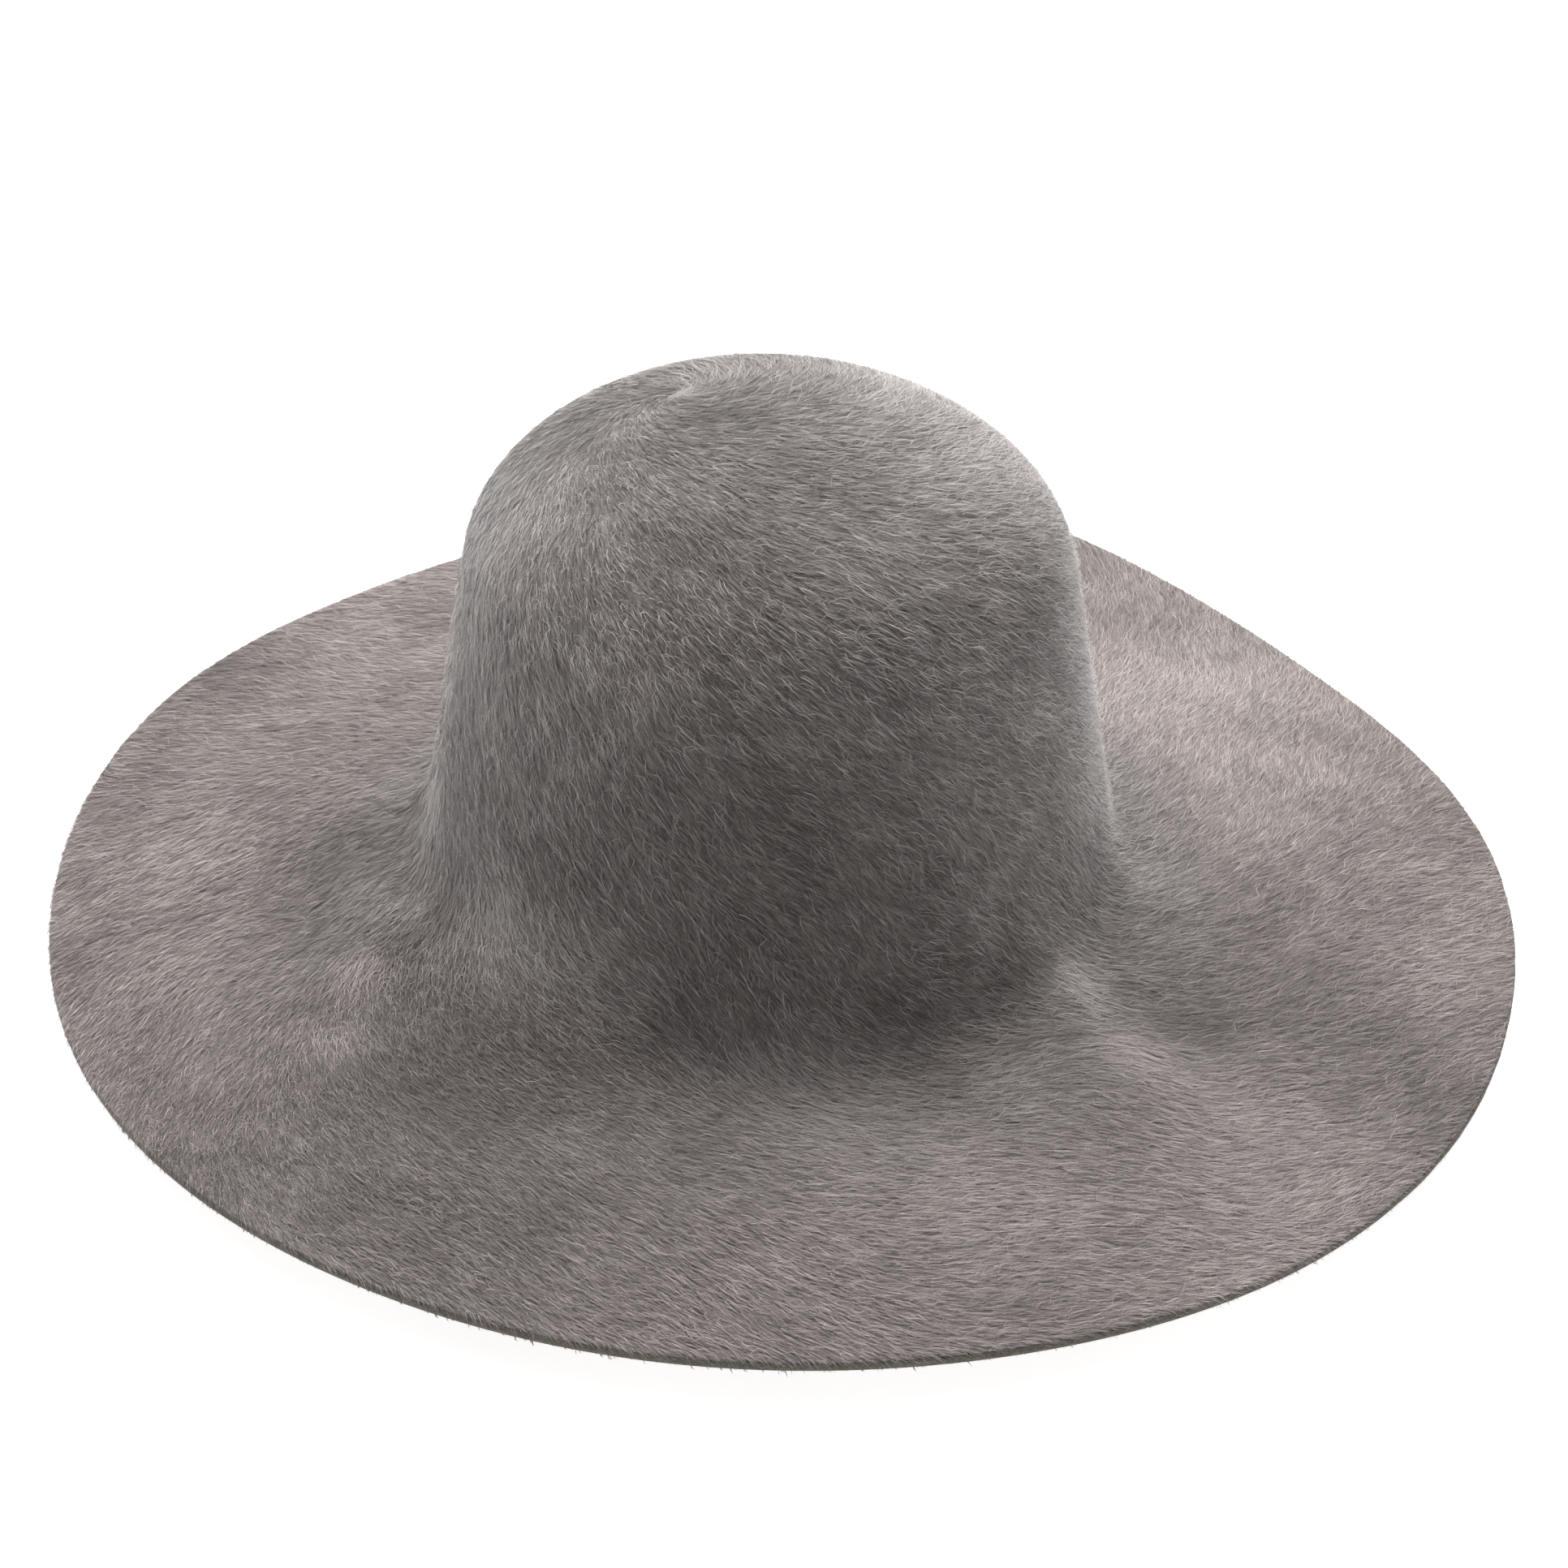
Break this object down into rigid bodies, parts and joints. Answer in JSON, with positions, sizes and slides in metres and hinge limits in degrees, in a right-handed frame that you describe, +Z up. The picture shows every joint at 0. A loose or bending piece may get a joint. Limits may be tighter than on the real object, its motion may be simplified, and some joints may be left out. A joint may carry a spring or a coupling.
{
  "type": "wide-brimmed felt hat",
  "caption": "Floppy wide-brimmed hat of brushed long-haired fur felt with a round crown, raw brim edge, leather sweatband and satin lining.",
  "frame": {"origin": "centre of the hat's box in plan, at the level that the lowest points of the brim edge rest on", "axes": "+Z up through the crown, -Y to the front of the brim, +X to the viewer's right of a hat seen from the front"},
  "size_m": [0.393, 0.413, 0.1419],
  "materials": {
    "fur_felt": "brushed long-nap fur felt, warm grey",
    "sweatband_leather": "smooth brown-grey leather, satin",
    "backing_leather": "matte split leather",
    "binding_tape": "matte cotton tape",
    "reed_plastic": "natural plastic cord",
    "sleeve_metal": "plain",
    "thread": "twisted sewing thread",
    "ribbon": "ribbed grosgrain",
    "satin": "satin weave with a soft sheen",
    "piping": "satin-covered cord",
    "label": "blank woven label ribbon"
  },
  "bodies": {
    "hat": {"felt_body": "fur_felt", "sweatband": "sweatband_leather", "reed_tape": "binding_tape", "reed": "reed_plastic", "reed_sleeve": "sleeve_metal", "seam_backing": "backing_leather", "seam_stitches": "thread", "sweatband_stitches": "thread", "bow_ribbon": "ribbon", "bow_knot": "ribbon", "lining_side": "satin", "lining_tip": "satin", "lining_piping": "piping", "label_hem": "label", "label_stitches": "thread"},
    "label": {"label_flap": "label"}
  },
  "joints": [
    {"name": "label_swing", "type": "hinge", "parent": "hat", "child": "label", "pos_m": [-0.08101, 0.00064, 0.08575], "axis": [0, -1, 0], "range_deg": [-6, 115]}
  ]
}
